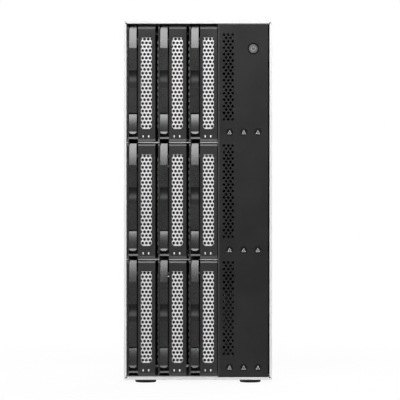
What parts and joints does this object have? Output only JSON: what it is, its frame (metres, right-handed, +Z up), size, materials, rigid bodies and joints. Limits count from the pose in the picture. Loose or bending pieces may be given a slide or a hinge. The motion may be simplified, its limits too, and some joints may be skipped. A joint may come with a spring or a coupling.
{
  "type": "disk shelf enclosure",
  "caption": "Upright tower enclosure with sliding disk carriers in rows, ejector levers, perforated fronts, a vented side bezel, rear fans and rubber feet.",
  "frame": {"origin": "middle of the footprint, on the surface the feet stand on", "axes": "X to the right seen from the front, Y from the front to the rear, Z up"},
  "size_m": [0.161, 0.293, 0.393],
  "materials": {
    "shell_silver": "fine bead-blasted silver aluminium",
    "cage_steel": "black powder coat on folded sheet",
    "shelf_steel": "bare plated sheet with a bright cut edge",
    "rail_plastic": "black moulded nylon",
    "board_green": "green solder mask",
    "socket_black": "black moulded connector",
    "bezel_black": "fine-textured charcoal moulding",
    "lens_dark": "smoked glossy lens",
    "button_dark": "satin charcoal button",
    "port_metal": "plated socket shells",
    "psu_steel": "zinc-plated steel box",
    "fan_black": "black glass-filled plastic",
    "panel_black": "black powder coat",
    "guard_chrome": "bright plated wire",
    "screw_steel": "nickel-plated screws",
    "foot_rubber": "black rubber",
    "carrier_black": "fine-textured charcoal moulding",
    "grille_metal": "bright perforated sheet",
    "lever_black": "satin charcoal moulding",
    "latch_black": "satin charcoal moulding"
  },
  "bodies": {
    "enclosure": {"outer_shell": "shell_silver", "drive_cage": "cage_steel", "bay_floor": "shelf_steel", "bay_shelf_lower": "shelf_steel", "bay_shelf_upper": "shelf_steel", "guide_rails": "rail_plastic", "backplane_board": "board_green", "backplane_connectors": "socket_black", "front_bezel": "bezel_black", "indicator_lenses": "lens_dark", "front_panel_board": "board_green", "controller_board": "board_green", "io_ports": "port_metal", "power_supply": "psu_steel", "rear_panel": "panel_black", "fan_frames": "fan_black", "fan_guards": "guard_chrome", "panel_screws": "screw_steel", "feet": "foot_rubber"},
    "carrier_r1c1": {"carrier_frame_r1c1": "carrier_black", "carrier_grille_r1c1": "grille_metal"},
    "lever_r1c1": {"ejector_lever_r1c1": "lever_black"},
    "latch_r1c1": {"release_button_r1c1": "latch_black"},
    "carrier_r1c2": {"carrier_frame_r1c2": "carrier_black", "carrier_grille_r1c2": "grille_metal"},
    "lever_r1c2": {"ejector_lever_r1c2": "lever_black"},
    "latch_r1c2": {"release_button_r1c2": "latch_black"},
    "carrier_r1c3": {"carrier_frame_r1c3": "carrier_black", "carrier_grille_r1c3": "grille_metal"},
    "lever_r1c3": {"ejector_lever_r1c3": "lever_black"},
    "latch_r1c3": {"release_button_r1c3": "latch_black"},
    "carrier_r2c1": {"carrier_frame_r2c1": "carrier_black", "carrier_grille_r2c1": "grille_metal"},
    "lever_r2c1": {"ejector_lever_r2c1": "lever_black"},
    "latch_r2c1": {"release_button_r2c1": "latch_black"},
    "carrier_r2c2": {"carrier_frame_r2c2": "carrier_black", "carrier_grille_r2c2": "grille_metal"},
    "lever_r2c2": {"ejector_lever_r2c2": "lever_black"},
    "latch_r2c2": {"release_button_r2c2": "latch_black"},
    "carrier_r2c3": {"carrier_frame_r2c3": "carrier_black", "carrier_grille_r2c3": "grille_metal"},
    "lever_r2c3": {"ejector_lever_r2c3": "lever_black"},
    "latch_r2c3": {"release_button_r2c3": "latch_black"},
    "carrier_r3c1": {"carrier_frame_r3c1": "carrier_black", "carrier_grille_r3c1": "grille_metal"},
    "lever_r3c1": {"ejector_lever_r3c1": "lever_black"},
    "latch_r3c1": {"release_button_r3c1": "latch_black"},
    "carrier_r3c2": {"carrier_frame_r3c2": "carrier_black", "carrier_grille_r3c2": "grille_metal"},
    "lever_r3c2": {"ejector_lever_r3c2": "lever_black"},
    "latch_r3c2": {"release_button_r3c2": "latch_black"},
    "carrier_r3c3": {"carrier_frame_r3c3": "carrier_black", "carrier_grille_r3c3": "grille_metal"},
    "lever_r3c3": {"ejector_lever_r3c3": "lever_black"},
    "latch_r3c3": {"release_button_r3c3": "latch_black"},
    "power_button": {"power_button": "button_dark"},
    "fan_lower": {"fan_rotor_lower": "fan_black"},
    "fan_middle": {"fan_rotor_middle": "fan_black"},
    "fan_upper": {"fan_rotor_upper": "fan_black"},
    "psu_fan": {"psu_fan_rotor": "fan_black"}
  },
  "joints": [
    {"name": "carrier_slide_r1c1", "type": "slide", "parent": "enclosure", "child": "carrier_r1c1", "axis": [0, -1, 0], "range_m": [0, 0.17]},
    {"name": "lever_swing_r1c1", "type": "hinge", "parent": "carrier_r1c1", "child": "lever_r1c1", "pos_m": [-0.07075, -0.1375, 0.37285], "axis": [-1, 0, 0], "range_deg": [0, 45]},
    {"name": "latch_press_r1c1", "type": "slide", "parent": "carrier_r1c1", "child": "latch_r1c1", "axis": [0, 0, -1], "range_m": [0, 0.0025], "stiffness_N_per_m": 600, "springref_m": -0.002},
    {"name": "carrier_slide_r1c2", "type": "slide", "parent": "enclosure", "child": "carrier_r1c2", "axis": [0, -1, 0], "range_m": [0, 0.17]},
    {"name": "lever_swing_r1c2", "type": "hinge", "parent": "carrier_r1c2", "child": "lever_r1c2", "pos_m": [-0.03705, -0.1375, 0.37285], "axis": [-1, 0, 0], "range_deg": [0, 45]},
    {"name": "latch_press_r1c2", "type": "slide", "parent": "carrier_r1c2", "child": "latch_r1c2", "axis": [0, 0, -1], "range_m": [0, 0.0025], "stiffness_N_per_m": 600, "springref_m": -0.002},
    {"name": "carrier_slide_r1c3", "type": "slide", "parent": "enclosure", "child": "carrier_r1c3", "axis": [0, -1, 0], "range_m": [0, 0.17]},
    {"name": "lever_swing_r1c3", "type": "hinge", "parent": "carrier_r1c3", "child": "lever_r1c3", "pos_m": [-0.00335, -0.1375, 0.37285], "axis": [-1, 0, 0], "range_deg": [0, 45]},
    {"name": "latch_press_r1c3", "type": "slide", "parent": "carrier_r1c3", "child": "latch_r1c3", "axis": [0, 0, -1], "range_m": [0, 0.0025], "stiffness_N_per_m": 600, "springref_m": -0.002},
    {"name": "carrier_slide_r2c1", "type": "slide", "parent": "enclosure", "child": "carrier_r2c1", "axis": [0, -1, 0], "range_m": [0, 0.17]},
    {"name": "lever_swing_r2c1", "type": "hinge", "parent": "carrier_r2c1", "child": "lever_r2c1", "pos_m": [-0.07075, -0.1375, 0.24585], "axis": [-1, 0, 0], "range_deg": [0, 45]},
    {"name": "latch_press_r2c1", "type": "slide", "parent": "carrier_r2c1", "child": "latch_r2c1", "axis": [0, 0, -1], "range_m": [0, 0.0025], "stiffness_N_per_m": 600, "springref_m": -0.002},
    {"name": "carrier_slide_r2c2", "type": "slide", "parent": "enclosure", "child": "carrier_r2c2", "axis": [0, -1, 0], "range_m": [0, 0.17]},
    {"name": "lever_swing_r2c2", "type": "hinge", "parent": "carrier_r2c2", "child": "lever_r2c2", "pos_m": [-0.03705, -0.1375, 0.24585], "axis": [-1, 0, 0], "range_deg": [0, 45]},
    {"name": "latch_press_r2c2", "type": "slide", "parent": "carrier_r2c2", "child": "latch_r2c2", "axis": [0, 0, -1], "range_m": [0, 0.0025], "stiffness_N_per_m": 600, "springref_m": -0.002},
    {"name": "carrier_slide_r2c3", "type": "slide", "parent": "enclosure", "child": "carrier_r2c3", "axis": [0, -1, 0], "range_m": [0, 0.17]},
    {"name": "lever_swing_r2c3", "type": "hinge", "parent": "carrier_r2c3", "child": "lever_r2c3", "pos_m": [-0.00335, -0.1375, 0.24585], "axis": [-1, 0, 0], "range_deg": [0, 45]},
    {"name": "latch_press_r2c3", "type": "slide", "parent": "carrier_r2c3", "child": "latch_r2c3", "axis": [0, 0, -1], "range_m": [0, 0.0025], "stiffness_N_per_m": 600, "springref_m": -0.002},
    {"name": "carrier_slide_r3c1", "type": "slide", "parent": "enclosure", "child": "carrier_r3c1", "axis": [0, -1, 0], "range_m": [0, 0.17]},
    {"name": "lever_swing_r3c1", "type": "hinge", "parent": "carrier_r3c1", "child": "lever_r3c1", "pos_m": [-0.07075, -0.1375, 0.11885], "axis": [-1, 0, 0], "range_deg": [0, 45]},
    {"name": "latch_press_r3c1", "type": "slide", "parent": "carrier_r3c1", "child": "latch_r3c1", "axis": [0, 0, -1], "range_m": [0, 0.0025], "stiffness_N_per_m": 600, "springref_m": -0.002},
    {"name": "carrier_slide_r3c2", "type": "slide", "parent": "enclosure", "child": "carrier_r3c2", "axis": [0, -1, 0], "range_m": [0, 0.17]},
    {"name": "lever_swing_r3c2", "type": "hinge", "parent": "carrier_r3c2", "child": "lever_r3c2", "pos_m": [-0.03705, -0.1375, 0.11885], "axis": [-1, 0, 0], "range_deg": [0, 45]},
    {"name": "latch_press_r3c2", "type": "slide", "parent": "carrier_r3c2", "child": "latch_r3c2", "axis": [0, 0, -1], "range_m": [0, 0.0025], "stiffness_N_per_m": 600, "springref_m": -0.002},
    {"name": "carrier_slide_r3c3", "type": "slide", "parent": "enclosure", "child": "carrier_r3c3", "axis": [0, -1, 0], "range_m": [0, 0.17]},
    {"name": "lever_swing_r3c3", "type": "hinge", "parent": "carrier_r3c3", "child": "lever_r3c3", "pos_m": [-0.00335, -0.1375, 0.11885], "axis": [-1, 0, 0], "range_deg": [0, 45]},
    {"name": "latch_press_r3c3", "type": "slide", "parent": "carrier_r3c3", "child": "latch_r3c3", "axis": [0, 0, -1], "range_m": [0, 0.0025], "stiffness_N_per_m": 600, "springref_m": -0.002},
    {"name": "power_press", "type": "slide", "parent": "enclosure", "child": "power_button", "axis": [0, 1, 0], "range_m": [0, 0.0015], "stiffness_N_per_m": 800, "springref_m": -0.0015},
    {"name": "fan_spin_lower", "type": "hinge", "parent": "enclosure", "child": "fan_lower", "pos_m": [-0.0285, 0.128, 0.066], "axis": [0, 1, 0], "continuous": true},
    {"name": "fan_spin_middle", "type": "hinge", "parent": "enclosure", "child": "fan_middle", "pos_m": [-0.0285, 0.128, 0.1965], "axis": [0, 1, 0], "continuous": true},
    {"name": "fan_spin_upper", "type": "hinge", "parent": "enclosure", "child": "fan_upper", "pos_m": [-0.0285, 0.128, 0.327], "axis": [0, 1, 0], "continuous": true},
    {"name": "psu_fan_spin", "type": "hinge", "parent": "enclosure", "child": "psu_fan", "pos_m": [0.05075, 0.13, 0.0315], "axis": [0, 1, 0], "continuous": true}
  ]
}
